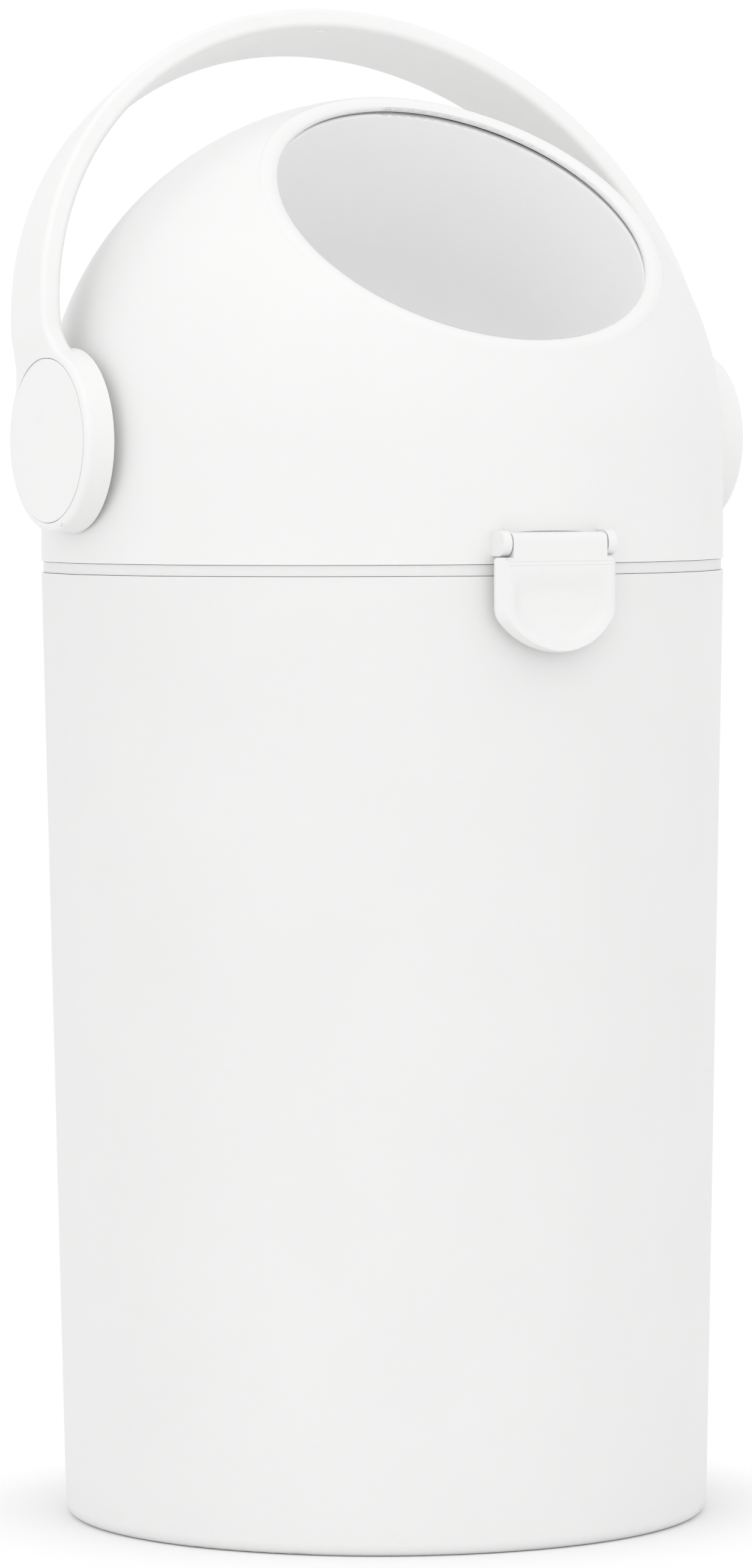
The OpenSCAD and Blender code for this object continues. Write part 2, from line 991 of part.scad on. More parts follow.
// The curved track in the hub's back that the lid's peg runs in
module stop_track() {
    end_angle = asin((stop_peg_r + pass_gap) / stop_track_r);
    swept = handle_swing + 2 * end_angle;
    rotate([0, 90, 0])
        rotate([0, 0, handle_tilt - handle_swing - end_angle])
            rotate_extrude(angle = swept)
                translate([stop_track_r - stop_track_half, hub_skirt_x - 1])
                    square([2 * stop_track_half, stop_depth + 1]);
}

// Rounds the corner where the leg leaves the hub
module leg_blend() {
    half = handle_w / 2;
    reach = sqrt(pow(hub_r + leg_blend_r, 2) - pow(half + leg_blend_r, 2));
    translate([handle_half_w - handle_t, 0, 0])
        rotate([90, 0, 90])
            linear_extrude(height = handle_t - 0.4)
                difference() {
                    polygon([[0, 0], [half + leg_blend_r, reach], [-half - leg_blend_r, reach]]);
                    for (side = [-1, 1])
                        translate([side * (half + leg_blend_r), reach])
                            circle(r = leg_blend_r);
                }
}

// Cuts the leg's outer face down to just below the hub's face
module leg_relief() {
    foot_z = 24;
    slope_h = 24;
    inset = 0.05;
    slope = atan2(handle_half_w - hub_out_x + inset, slope_h);
    translate([hub_out_x - inset, -through / 2, -foot_z])
        cube([through, through, 2 * foot_z]);
    translate([hub_out_x - inset, -through / 2, foot_z])
        rotate([0, slope, 0])
            cube([through, through, slope_h + 2]);
}

module handle_leg() {
    translate([arch_mid_r, 0, 0])
        linear_extrude(height = arch_rise)
            rounded_rect(handle_t, handle_w, handle_edge_r);
}

module handle_arch() {
    translate([0, 0, arch_rise])
        rotate([90, 0, 0])
            rotate_extrude(angle = 180)
                translate([arch_mid_r, 0])
                    rounded_rect(handle_t, handle_w, handle_edge_r);
}

module handle() {
    color(shell_color)
        at_axis()
            rotate([-handle_tilt, 0, 0])
                difference() {
                    union() {
                        difference() {
                            union() {
                                handle_arch();
                                both_sides() {
                                    handle_leg();
                                    leg_blend();
                                }
                            }
                            both_sides()
                                leg_relief();
                        }
                        both_sides()
                            hub_blank();
                    }
                    both_sides() {
                        x_bar(cap_r, shaft_end_x, through);
                        x_bar(boss_r + 1, 0, hub_back_x);
                        shaft_key(drop_fit);
                        stop_track();
                    }
                }
}

module handle_screws() {
    head_x = shaft_end_x + washer_t;
    color(steel_color)
        at_axis()
            both_sides() {
                x_bar(handle_screw_r, shaft_end_x - handle_screw_l + 2, head_x + bite);
                x_bar(handle_screw_head_r, head_x, head_x + handle_screw_head_t);
            }
}

module handle_washers() {
    color(steel_color)
        at_axis()
            both_sides()
                difference() {
                    x_bar(washer_r, shaft_end_x, shaft_end_x + washer_t);
                    x_bar(handle_screw_r, 0, through);
                }
}

module hub_cap() {
    face_r = 420;
    skirt_t_cap = 1.8;
    out_r = cap_r - drop_fit;
    crown = 0.5;
    color(shell_color)
        at_axis()
            x_turned()
                difference() {
                    intersection() {
                        square([out_r, through]);
                        translate([0, hub_out_x + crown - face_r])
                            circle(r = face_r, $fn = 1440);
                    }
                    square([out_r, shaft_end_x]);
                    square([out_r - skirt_t_cap, hub_out_x - cap_t]);
                }
}

module left_hub_cap() {
    mirror([1, 0, 0])
        hub_cap();
}

module right_hub_cap() {
    hub_cap();
}

bucket();
hinge_bracket();
bracket_screws();
hinge_pin();
bag_ring();
bag_grip();
lid_shell();
lid_collar();
collar_screws();
lid_gasket();
mouth_seal();
drum_seal();
left_bushing();
right_bushing();
latch_pin();
latch();
drum_front();
drum_back();
drum_screws();
nappy_cup();
cup_bowl();
left_trunnion();
right_trunnion();
handle();
handle_screws();
handle_washers();
left_hub_cap();
right_hub_cap();
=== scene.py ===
"""A white nappy bin with a swinging drum, dressed for rendering.

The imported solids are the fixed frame. This script gives each of them a moulded,
rubber or steel finish, models the handle, its two hub caps and the latch anew with
their soft edges, and sets the bin in a plain pale studio.
"""

import logging
import math
from dataclasses import dataclass, field
from enum import Enum
from typing import Iterable, Optional, Sequence, Union

import bmesh
import bpy
from mathutils import Matrix, Vector

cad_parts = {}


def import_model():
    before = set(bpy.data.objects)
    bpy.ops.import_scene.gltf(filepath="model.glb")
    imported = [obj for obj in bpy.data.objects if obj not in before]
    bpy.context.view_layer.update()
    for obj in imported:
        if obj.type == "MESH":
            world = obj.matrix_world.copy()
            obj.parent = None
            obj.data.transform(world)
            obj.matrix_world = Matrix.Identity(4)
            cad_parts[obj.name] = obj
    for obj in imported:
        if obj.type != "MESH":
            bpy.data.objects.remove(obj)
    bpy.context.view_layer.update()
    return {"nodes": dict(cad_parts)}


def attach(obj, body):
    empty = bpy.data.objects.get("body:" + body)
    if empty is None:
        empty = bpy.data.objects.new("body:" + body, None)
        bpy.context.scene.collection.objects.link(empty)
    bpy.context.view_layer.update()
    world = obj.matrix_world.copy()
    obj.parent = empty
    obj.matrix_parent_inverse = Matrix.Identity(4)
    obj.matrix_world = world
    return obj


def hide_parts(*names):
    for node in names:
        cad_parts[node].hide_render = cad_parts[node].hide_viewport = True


LOG = logging.getLogger("nappy_bin")
MM = 0.001
DRUM_AXIS_Z = 441.9
SKIN_GAP = 1e-7
CARVED_GAP = 1e-6
TINY = 1e-6

Colour = tuple[float, float, float]


# ---- shader expressions ----


class Graph:
    """The node tree of one material or of the world."""

    def __init__(self, tree: bpy.types.NodeTree) -> None:
        """Empties the tree so that it can be built from nothing.

        Args:
            tree: The node tree to fill.
        """
        self.tree = tree
        tree.nodes.clear()

    def node(
        self,
        kind: str,
        settings: Optional[dict] = None,
        inputs: Optional[dict] = None,
        outlet: Union[int, str] = 0,
    ) -> "Wire":
        """Adds one node.

        Args:
            kind: The node's type, such as "ShaderNodeBump".
            settings: Properties of the node, set first.
            inputs: Values or wires for its sockets, by name or number.
            outlet: The output that the returned wire stands for.

        Returns:
            The wire of the chosen output.
        """
        made = self.tree.nodes.new(kind)
        for key, value in (settings or {}).items():
            setattr(made, key, value)
        for key, value in (inputs or {}).items():
            socket = made.inputs[key]
            if isinstance(value, Wire):
                self.tree.links.new(value.socket, socket)
            else:
                socket.default_value = value
        return Wire(self, made.outputs[outlet]) if made.outputs else Wire(self, None)


Value = Union["Wire", float]


class Wire:
    """A shader socket that Python's operators work on."""

    def __init__(self, graph: Graph, socket: Optional[bpy.types.NodeSocket]) -> None:
        """Keeps the graph and the output socket."""
        self.graph = graph
        self.socket = socket

    def _math(self, operation: str, first: Value, second: Value = 0.0) -> "Wire":
        """Adds one Math node for an operation on two values."""
        settings = {"operation": operation}
        return self.graph.node("ShaderNodeMath", settings, {0: first, 1: second})

    def __add__(self, other: Value) -> "Wire":
        """Adds a value."""
        return self._math("ADD", self, other)

    def __radd__(self, other: Value) -> "Wire":
        """Is added to a value."""
        return self._math("ADD", other, self)

    def __sub__(self, other: Value) -> "Wire":
        """Takes a value away."""
        return self._math("SUBTRACT", self, other)

    def __rsub__(self, other: Value) -> "Wire":
        """Is taken away from a value."""
        return self._math("SUBTRACT", other, self)

    def __mul__(self, other: Value) -> "Wire":
        """Multiplies by a value."""
        return self._math("MULTIPLY", self, other)

    def __rmul__(self, other: Value) -> "Wire":
        """Multiplies a value."""
        return self._math("MULTIPLY", other, self)

    def ramp(self, low: float, high: float) -> "Wire":
        """Runs smoothly from 0 at low to 1 at high.

        Args:
            low: Value at which the result leaves 0.
            high: Value at which the result reaches 1.

        Returns:
            The wire between 0 and 1.
        """
        settings = {"interpolation_type": "SMOOTHSTEP"}
        limits = {"Value": self, "From Min": low, "From Max": high}
        return self.graph.node("ShaderNodeMapRange", settings, limits)


def blend_colours(mask: Wire, first: Colour, second: Colour) -> Wire:
    """Mixes two colours.

    Args:
        mask: 0 gives the first colour, 1 the second.
        first: Linear colour.
        second: Linear colour.

    Returns:
        The mixed colour's wire.
    """
    settings = {"data_type": "RGBA"}
    inputs = {0: mask, 6: (*first, 1.0), 7: (*second, 1.0)}
    return mask.graph.node("ShaderNodeMix", settings, inputs, outlet=2)


def place_on_object(graph: Graph) -> Wire:
    """The point on the object, in metres."""
    return graph.node("ShaderNodeTexCoord", outlet="Object")


def noise(place: Wire, size: float, detail: float = 2.0, rough: float = 0.5) -> Wire:
    """A soft noise between 0 and 1.

    Args:
        place: The point to read it at.
        size: Length of one cell, in metres.
        detail: Number of finer layers.
        rough: How strong the finer layers are.

    Returns:
        The noise's wire.
    """
    inputs = {"Vector": place, "Scale": 1.0 / size, "Detail": detail, "Roughness": rough}
    return place.graph.node("ShaderNodeTexNoise", {"noise_dimensions": "3D"}, inputs)


def relief(height: Wire, depth: float, under: Optional[Wire] = None) -> Wire:
    """Turns a height into a bumped normal.

    Args:
        height: The height, between 0 and 1.
        depth: Real height that 1 stands for, in metres.
        under: A normal that it lies over, if any.

    Returns:
        The normal's wire.
    """
    inputs = {"Strength": 1.0, "Distance": depth, "Height": height}
    if under is not None:
        inputs["Normal"] = under
    return height.graph.node("ShaderNodeBump", inputs=inputs, outlet="Normal")


def blank(name: str) -> tuple[bpy.types.Material, Graph]:
    """Makes an empty material.

    Args:
        name: Its name.

    Returns:
        The material and the graph of its nodes.
    """
    made = bpy.data.materials.new(name)
    made.use_nodes = True
    return made, Graph(made.node_tree)


def coat(graph: Graph, shader: dict) -> None:
    """Leads a Principled shader with the given inputs to the output."""
    surface = graph.node("ShaderNodeBsdfPrincipled", inputs=shader)
    graph.node("ShaderNodeOutputMaterial", inputs={"Surface": surface})


# ---- finishes ----


class Handling(Enum):
    """Where a moulding shows the marks of use."""

    NONE = "none"
    FLOOR = "floor"
    HAND = "hand"


@dataclass(frozen=True)
class Moulding:
    """Injection-moulded plastic, with a fine grain and a slow mottle of tone and gloss.

    Sizes and depths are in metres. A cloud and a finer speck make the mottle, each with
    its own weight, and the marks of use darken and dull it.
    """

    name: str
    colour: Colour = (0.865, 0.865, 0.861)
    lightest: float = 0.96
    mottle: float = 0.006
    shade: float = 2.2
    cloud_size: float = 0.06
    cloud_weight: float = 1.4
    speck_size: float = 0.0035
    speck_weight: float = 0.35
    speck_gloss: float = 0.6
    roughness: float = 0.36
    gloss_spread: float = 0.05
    mark_tone: float = 0.5
    mark_dulling: float = 0.12
    floor_reach: tuple[float, float] = (0.002, 0.03)
    scuff_size: float = 0.006
    scuff_cut: tuple[float, float] = (0.52, 0.75)
    touch_size: float = 0.02
    touch_cut: tuple[float, float] = (0.56, 0.8)
    grain_size: float = 0.0011
    grain_depth: float = 0.000012
    wave_size: float = 0.045
    wave_depth: float = 0.00002
    specular: float = 0.45
    refraction: float = 1.49
    handling: Handling = Handling.NONE
    seed: float = 0.0

    def material(self) -> bpy.types.Material:
        """Builds the finish as a material.

        Returns:
            The material.
        """
        made, graph = blank(self.name)
        place = place_on_object(graph)
        shift = (self.seed, 0.31, 0.17)
        shifted = graph.node("ShaderNodeVectorMath", {"operation": "ADD"}, {0: place, 1: shift})
        cloud = noise(shifted, self.cloud_size, 3.0, 0.55) - 0.5
        speck = noise(shifted, self.speck_size, 2.0, 0.6) - 0.5
        marks = self._marks(place, shifted)
        mottled = cloud * self.cloud_weight + speck * self.speck_weight
        tone = mottled + 0.5 + marks * self.mark_tone
        darker = tuple(c * (1.0 - self.shade * self.mottle) for c in self.colour)
        lighter = tuple(min(self.lightest, c * (1.0 + self.mottle)) for c in self.colour)
        gloss = cloud * self.gloss_spread + speck * (self.speck_gloss * self.gloss_spread)
        shader = {
            "Base Color": blend_colours(tone.ramp(0.0, 1.0), lighter, darker),
            "Roughness": gloss + self.roughness + marks * self.mark_dulling,
            "Specular IOR Level": self.specular,
            "IOR": self.refraction,
            "Normal": self._texture(shifted),
        }
        coat(graph, shader)
        return made

    def _texture(self, place: Wire) -> Wire:
        """The grain of the tool's surface over the slow waviness of a thin wall.

        Args:
            place: The point to read both at.

        Returns:
            The normal's wire.
        """
        waved = relief(noise(place, self.wave_size, 1.0, 0.4), self.wave_depth)
        return relief(noise(place, self.grain_size, 2.0, 0.6), self.grain_depth, waved)

    def _marks(self, place: Wire, shifted: Wire) -> Wire:
        """Faint scuffs near the floor, or the dulling of hands.

        Args:
            place: The point on the object.
            shifted: The same point, moved by the seed.

        Returns:
            The wire of the marks, 0 where there are none.
        """
        height = place.graph.node("ShaderNodeSeparateXYZ", inputs={0: place}, outlet=2)
        if self.handling is Handling.FLOOR:
            low = 1.0 - height.ramp(*self.floor_reach)
            return low * noise(shifted, self.scuff_size, 4.0, 0.7).ramp(*self.scuff_cut)
        if self.handling is Handling.HAND:
            return noise(shifted, self.touch_size, 3.0, 0.6).ramp(*self.touch_cut)
        return height * 0.0


@dataclass(frozen=True)
class Rubber:
    """A soft grey seal with a dull, slightly dusty surface; sizes are in metres."""

    name: str
    colour: Colour = (0.16, 0.165, 0.17)
    dust_gain: float = 1.5
    dust_size: float = 0.012
    dust_cut: tuple[float, float] = (0.4, 0.8)
    roughness: float = 0.62
    gloss_spread: float = 0.2
    pore_size: float = 0.0007
    pore_depth: float = 0.00002

    def material(self) -> bpy.types.Material:
        """Builds the finish as a material.

        Returns:
            The material.
        """
        made, graph = blank(self.name)
        place = place_on_object(graph)
        dust = noise(place, self.dust_size, 4.0, 0.65)
        dusty = tuple(min(1.0, c * self.dust_gain) for c in self.colour)
        shader = {
            "Base Color": blend_colours(dust.ramp(*self.dust_cut), self.colour, dusty),
            "Roughness": dust * self.gloss_spread + (self.roughness - self.gloss_spread / 2),
            "Normal": relief(noise(place, self.pore_size, 2.0, 0.5), self.pore_depth),
        }
        coat(graph, shader)
        return made


@dataclass(frozen=True)
class Steel:
    """Plated steel with fine drawn lines along X; sizes are in metres."""

    name: str
    colour: Colour = (0.62, 0.62, 0.63)
    haze_share: float = 0.86
    haze_size: float = 0.008
    haze_cut: tuple[float, float] = (0.35, 0.75)
    roughness: float = 0.28
    gloss_spread: float = 0.16
    lines_per_metre: tuple[float, float, float] = (40.0, 900.0, 900.0)
    line_depth: float = 0.000008

    def material(self) -> bpy.types.Material:
        """Builds the finish as a material.

        Returns:
            The material.
        """
        made, graph = blank(self.name)
        place = place_on_object(graph)
        settings = {"operation": "MULTIPLY"}
        drawn = graph.node("ShaderNodeVectorMath", settings, {0: place, 1: self.lines_per_metre})
        lines = noise(drawn, 1.0, 3.0, 0.6)
        haze = noise(place, self.haze_size, 3.0, 0.5)
        hazy = tuple(c * self.haze_share for c in self.colour)
        shader = {
            "Base Color": blend_colours(haze.ramp(*self.haze_cut), self.colour, hazy),
            "Metallic": 1.0,
            "Roughness": lines * self.gloss_spread + (self.roughness - self.gloss_spread / 2),
            "Normal": relief(lines, self.line_depth),
        }
        coat(graph, shader)
        return made


Finish = Union[Moulding, Rubber, Steel]


# ---- meshes ----


def clean(mesh: bmesh.types.BMesh, gap: float) -> None:
    """Merges close vertices and drops what is left without an area.

    Args:
        mesh: The mesh to clean.
        gap: Distance within which vertices become one, in metres.
    """
    bmesh.ops.remove_doubles(mesh, verts=mesh.verts, dist=gap)
    bmesh.ops.dissolve_degenerate(mesh, edges=mesh.edges, dist=gap)
    loose = [edge for edge in mesh.edges if not edge.link_faces]
    bmesh.ops.delete(mesh, geom=loose, context="EDGES")


class Skin:
    """Collects vertices and faces and turns them into one smooth closed object."""

    def __init__(self) -> None:
        """Starts with an empty mesh."""
        self.mesh = bmesh.new()

    def ring(self, points: Iterable[Vector]) -> list[bmesh.types.BMVert]:
        """Adds a row of vertices."""
        return [self.mesh.verts.new(p) for p in points]

    def bridge(
        self,
        first: Sequence[bmesh.types.BMVert],
        second: Sequence[bmesh.types.BMVert],
    ) -> None:
        """Joins two rows of equal length, which run round, with quads.

        Args:
            first: The first row.
            second: The second row.
        """
        for i in range(len(first)):
            j = (i + 1) % len(first)
            self.mesh.faces.new((first[i], first[j], second[j], second[i]))

    def cap(self, *rows: Sequence[bmesh.types.BMVert]) -> None:
        """Closes each row with one flat face."""
        for row in rows:
            self.mesh.faces.new(row)

    def fan(self, row: Sequence[bmesh.types.BMVert], tip: Vector) -> None:
        """Closes a row with triangles to a point.

        Args:
            row: The row, which runs round.
            tip: The point.
        """
        peak = self.mesh.verts.new(tip)
        for i, vert in enumerate(row):
            self.mesh.faces.new((vert, row[(i + 1) % len(row)], peak))

    def finish(
        self, name: str, place: Matrix = Matrix(), sharp: float = 38.0
    ) -> bpy.types.Object:
        """Makes the object.

        Args:
            name: The piece's name.
            place: Moves the vertices into the bin's frame.
            sharp: Angle above which an edge stays sharp, in degrees.

        Returns:
            The new object, at the origin.
        """
        clean(self.mesh, SKIN_GAP)
        bmesh.ops.transform(self.mesh, matrix=place, verts=self.mesh.verts)
        bmesh.ops.recalc_face_normals(self.mesh, faces=self.mesh.faces)
        for face in self.mesh.faces:
            face.smooth = True
        for edge in self.mesh.edges:
            if len(edge.link_faces) == 2 and edge.calc_face_angle(0.0) > math.radians(sharp):
                edge.smooth = False
        data = bpy.data.meshes.new(name)
        self.mesh.to_mesh(data)
        self.mesh.free()
        made = bpy.data.objects.new(name, data)
        bpy.context.scene.collection.objects.link(made)
        return made


def turned(
    profile: Sequence[tuple[float, float]], side: float = 1.0, steps: int = 96, unit: float = MM
) -> Skin:
    """Turns a profile about the X axis.

    Args:
        profile: Radius and station along X of each point, from the axis out and back to it.
        side: 1 keeps the stations, -1 mirrors them.
        steps: Number of facets round.
        unit: Length of the profile's unit, in metres.

    Returns:
        The closed skin.
    """
    skin = Skin()
    points = [(side * x * unit, r * unit) for r, x in profile]
    rows = []
    for i in range(steps):
        a = math.tau * i / steps
        rows.append(skin.ring(Vector((x, r * math.cos(a), r * math.sin(a))) for x, r in points))
    for i in range(steps):
        skin.bridge(rows[i], rows[(i + 1) % steps])
    return skin


class Carving(Enum):
    """What a tool does to a piece."""

    ADD = "UNION"
    CUT = "DIFFERENCE"


def carve(piece: bpy.types.Object, tool: bpy.types.Object, how: Carving) -> None:
    """Joins a tool to a piece or cuts it out, and deletes the tool.

    Args:
        piece: The object that is changed.
        tool: The object that changes it.
        how: What the tool does.
    """
    change = piece.modifiers.new("carve", "BOOLEAN")
    change.operation = how.value
    change.solver = "EXACT"
    change.object = tool
    graph = bpy.context.evaluated_depsgraph_get()
    result = bpy.data.meshes.new_from_object(piece.evaluated_get(graph))
    piece.modifiers.clear()
    old = piece.data
    piece.data = result
    bpy.data.meshes.remove(old)
    bpy.data.objects.remove(tool)


def soften(piece: bpy.types.Object, sharp: float = 32.0) -> None:
    """Shades a piece smoothly, with its broad faces left flat.

    Args:
        piece: The object.
        sharp: Angle above which an edge stays sharp, in degrees.
    """
    mesh = bmesh.new()
    mesh.from_mesh(piece.data)
    clean(mesh, CARVED_GAP)
    for face in mesh.faces:
        face.smooth = True
    for edge in mesh.edges:
        edge.smooth = edge.calc_face_angle(0.0) < math.radians(sharp)
    mesh.to_mesh(piece.data)
    mesh.free()
    weigh = piece.modifiers.new("even_normals", "WEIGHTED_NORMAL")
    weigh.mode = "FACE_AREA"
    weigh.keep_sharp = True


def smoothstep(low: float, high: float, value: float) -> float:
    """Runs smoothly from 0 at low to 1 at high."""
    t = min(1.0, max(0.0, (value - low) / (high - low)))
    return t * t * (3.0 - 2.0 * t)


def spaced(knots: Sequence[tuple[float, float]], step: float) -> list[tuple[float, float]]:
    """Fills a chain of straight lines with evenly spaced points.

    Args:
        knots: The corners.
        step: The longest gap that is left.

    Returns:
        The corners and the points between them.
    """
    points = [knots[0]]
    for (x0, z0), (x1, z1) in zip(knots, knots[1:]):
        count = max(1, math.ceil(math.hypot(x1 - x0, z1 - z0) / step))
        shares = [i / count for i in range(1, count + 1)]
        points += [(x0 + (x1 - x0) * t, z0 + (z1 - z0) * t) for t in shares]
    return points


def wear(piece: bpy.types.Object, finish: Finish) -> None:
    """Puts one finish on a whole piece.

    Args:
        piece: The object.
        finish: The finish that it wears.
    """
    piece.data.materials.clear()
    piece.data.materials.append(finish.material())
    LOG.info("%s wears %s, %d faces", piece.name, finish.name, len(piece.data.polygons))


# ---- the handle ----


@dataclass
class Handle:
    """The swinging bow: one bar that widens into a round hub at each end.

    All sizes are in millimetres and degrees, in the handle's own frame, where its legs
    stand along Z from the drum's axis. Places along the bar start at that axis. A pair
    of places says where a smooth change begins and ends, and an edge's rounding takes up
    no more than its limit of the half width.
    """

    half_width: float = 154.6
    hub_face: float = 152.4
    rise: float = 186.0
    thickness: float = 8.8
    leg_width: float = 31.7
    top_width: float = 34.4
    edge: float = 2.5
    edge_limit: float = 0.9
    crown: float = 0.3
    hub_radius: float = 36.5
    hub_back: float = 140.5
    hub_plate: float = 149.0
    hub_draft: float = 0.6
    hub_tuck: float = 0.3
    hub_back_edge: float = 0.5
    proud_end: tuple[float, float] = (25.0, 52.0)
    crown_start: tuple[float, float] = (30.0, 60.0)
    blend: float = 22.0
    cap_radius: float = 33.0
    cap_floor: float = 147.3
    mouth_depth: float = 0.2
    mouth_width: float = 0.25
    mouth_lift: float = 0.05
    tool_reach: float = 4.0
    bore_radius: float = 21.4
    bore_floor: float = 141.7
    bore_reach: float = 3.0
    tilt: float = 19.9
    lean: float = 3.0
    axis_z: float = DRUM_AXIS_Z
    gate_b: float = -9.2
    gate_size: tuple[float, float, float] = (3.1, 1.5, 1.1)
    arch_steps: int = 120
    hub_steps: int = 40
    blend_steps: int = 12
    edge_steps: int = 6
    face_steps: int = 6
    gate_steps: int = 16
    round_steps: int = 144
    finish: Moulding = field(
        default_factory=lambda: Moulding("handle_white", seed=2.3, handling=Handling.HAND)
    )

    @property
    def leg_rise(self) -> float:
        """Height at which the legs pass into the arch."""
        return self.rise - self.half_width

    def _outline(self) -> list[tuple[float, float, float, float]]:
        """Traces half of one end, from the bottom of the hub to the plain leg.

        Returns:
            Place along the leg, half width there and the edge's normal, along and across.
        """
        half = self.leg_width / 2
        centre_b = half + self.blend
        reach = math.sqrt((self.hub_radius + self.blend) ** 2 - centre_b**2)
        meet = math.atan2(reach, centre_b)
        rows = []
        for i in range(self.hub_steps + 1):
            a = (meet + math.pi / 2) * i / self.hub_steps - math.pi / 2
            ns, nb = math.sin(a), math.cos(a)
            rows.append((self.hub_radius * ns, self.hub_radius * nb, ns, nb))
        for i in range(1, self.blend_steps + 1):
            a = math.pi + meet - meet * i / self.blend_steps
            s = reach + self.blend * math.sin(a)
            b = centre_b + self.blend * math.cos(a)
            rows.append((s, b, -math.sin(a), -math.cos(a)))
        return rows

    def _width_at(self, along: float, total: float) -> float:
        """Half of the bar's width at a place along its path.

        Args:
            along: The place.
            total: The path's length.

        Returns:
            The half width.
        """
        share = smoothstep(0.0, 1.0, math.sin(math.pi * max(0.0, min(1.0, along / total))))
        return (self.leg_width + (self.top_width - self.leg_width) * share) / 2

    def _bend(self, s: float, b: float, n: float, total: float) -> Vector:
        """Puts a point of the bar into the handle's frame.

        Args:
            s: Place along the bar.
            b: Place across it.
            n: Height over its outer face.
            total: The bar's length from axis to axis.

        Returns:
            The point, in metres.
        """
        if s > total / 2:
            other = self._bend(total - s, b, n, total)
            return Vector((-other.x, other.y, other.z))
        proud = (self.hub_face - self.half_width) * (1.0 - smoothstep(*self.proud_end, s))
        radius = self.half_width + n
        if s <= self.leg_rise:
            x, z = radius, s
        else:
            turn = (s - self.leg_rise) / self.half_width
            x = radius * math.cos(turn)
            z = self.leg_rise + radius * math.sin(turn)
        y = b + self.lean * (max(0.0, z) / self.rise) ** 2
        return Vector((x + proud, y, z)) * MM

    def _section(self, s: float, b: float, ns: float, nb: float) -> list[tuple[float, ...]]:
        """Traces one section round the bar.

        Args:
            s: Place along the bar.
            b: Half of the width there.
            ns: Part of the outline's normal that runs along the bar.
            nb: Part that runs across it.

        Returns:
            Place along, place across and height of each point.
        """
        edge = min(self.edge, self.edge_limit * b + TINY)
        right = []
        for i in range(self.edge_steps + 1):
            a = math.pi / 2 * i / self.edge_steps
            inset = edge * (1.0 - math.sin(a))
            right.append((s - ns * inset, b - nb * inset, -edge * (1.0 - math.cos(a))))
        for i in range(self.edge_steps + 1):
            a = math.pi / 2 * i / self.edge_steps
            inset = edge * (1.0 - math.cos(a))
            depth = self.thickness - edge * (1.0 - math.sin(a))
            right.append((s - ns * inset, b - nb * inset, -depth))
        faces = []
        for start, depth, bulge in ((0, 0.0, self.crown), (-1, -self.thickness, 0.0)):
            inner_s, inner_b, _ = right[start]
            across = []
            for i in range(1, self.face_steps):
                t = -1.0 + 2.0 * i / self.face_steps
                lift = bulge * (1.0 - t * t) * smoothstep(*self.crown_start, inner_s)
                across.append((inner_s, t * inner_b, depth + lift))
            faces.append(across)
        left = [(p, -q, n) for p, q, n in right]
        return faces[0] + right + faces[1][::-1] + left[::-1]

    def _bar(self) -> Skin:
        """Models the bar and the outer plates of both hubs in one.

        Returns:
            The closed skin.
        """
        total = 2 * self.leg_rise + math.pi * self.half_width
        end = self._outline()
        stations = list(end)
        start = end[-1][0]
        for i in range(1, self.arch_steps):
            s = start + (total - 2 * start) * i / self.arch_steps
            stations.append((s, self._width_at(s, total), 0.0, 1.0))
        stations += [(total - s, b, -ns, nb) for s, b, ns, nb in reversed(end)]
        skin = Skin()
        rows = []
        for s, b, ns, nb in stations:
            points = (self._bend(*p, total) for p in self._section(s, b, ns, nb))
            rows.append(skin.ring(points))
        for first, second in zip(rows, rows[1:]):
            skin.bridge(first, second)
        skin.cap(rows[0], rows[-1])
        return skin

    def _hub(self, side: int) -> Skin:
        """The thick disc behind one hub's face.

        Args:
            side: -1 for the left hub, 1 for the right.

        Returns:
            The closed skin.
        """
        radius, edge, inner = self.hub_radius + self.hub_draft, self.hub_back_edge, self.hub_back
        profile = [(0.0, self.hub_plate), (self.hub_radius - self.hub_tuck, self.hub_plate)]
        for i in range(self.edge_steps + 1):
            a = math.pi / 2 * i / self.edge_steps
            inset, lift = edge * (1.0 - math.cos(a)), edge * (1.0 - math.sin(a))
            profile.append((radius - inset, inner + lift))
        profile.append((0.0, inner))
        return turned(profile, side, self.round_steps)

    def _hollow(self, side: int) -> Skin:
        """The tool for the cap's recess, with a small chamfer at its mouth.

        Args:
            side: -1 for the left hub, 1 for the right.

        Returns:
            The closed skin.
        """
        radius, face = self.cap_radius, self.hub_face
        mouth = radius + self.mouth_width
        profile = [
            (0.0, self.cap_floor),
            (radius, self.cap_floor),
            (radius, face - self.mouth_depth),
            (mouth, face + self.mouth_lift),
            (mouth, face + self.tool_reach),
            (0.0, face + self.tool_reach),
        ]
        return turned(profile, side, self.round_steps)

    def _bore(self, side: int) -> Skin:
        """The tool for the socket in the hub's back that takes the lid's boss.

        Args:
            side: -1 for the left hub, 1 for the right.

        Returns:
            The closed skin.
        """
        profile = [
            (0.0, self.hub_back - self.bore_reach),
            (self.bore_radius, self.hub_back - self.bore_reach),
            (self.bore_radius, self.bore_floor),
            (0.0, self.bore_floor),
        ]
        return turned(profile, side)

    def _gate_mark(self) -> bpy.types.Object:
        """Models the small raised mark left where the mould was fed.

        Returns:
            The mark, as a tool for the bar.
        """
        place = Vector((0.0, self.gate_b, self.rise - self.thickness)) * MM
        half = [math.pi * i / self.gate_steps for i in range(self.gate_steps + 1)]
        profile = [(max(0.0, math.sin(a)), -math.cos(a)) for a in half]
        size = Matrix.Diagonal((*(v * MM for v in self.gate_size), 1.0))
        ball = turned(profile, steps=2 * self.gate_steps, unit=1.0)
        return ball.finish("gate_tool", Matrix.Translation(place) @ size)

